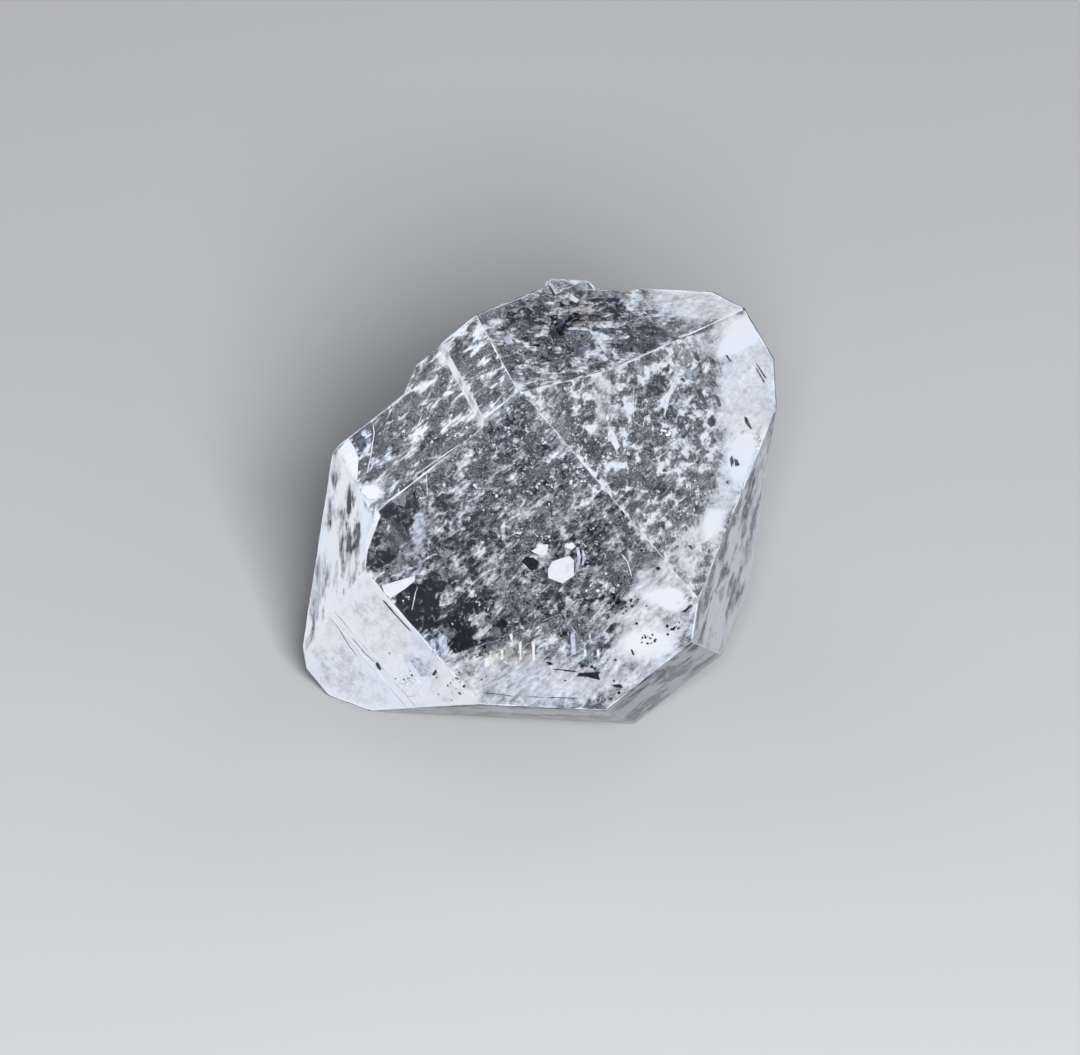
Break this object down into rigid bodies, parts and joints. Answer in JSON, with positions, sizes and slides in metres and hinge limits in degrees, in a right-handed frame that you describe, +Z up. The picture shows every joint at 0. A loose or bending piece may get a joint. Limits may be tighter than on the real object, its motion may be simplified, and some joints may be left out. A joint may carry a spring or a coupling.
{
  "type": "herkimer diamond",
  "caption": "Natural clear quartz crystal with a point at both ends, lying on one pyramid face; a display specimen.",
  "frame": {"origin": "middle of the bottom of the crystal's bounding box, on the surface that the crystal lies on", "axes": "+Z up; the crystal's long c axis climbs 38.2 degrees from the surface, heading 21.9 degrees from +X towards +Y"},
  "size_m": [0.0206, 0.0194, 0.0165],
  "materials": {
    "quartz": "natural polished crystal faces, clear with fine cloudy inclusions"
  },
  "bodies": {
    "root": {"quartz_crystal": "quartz"}
  },
  "joints": []
}
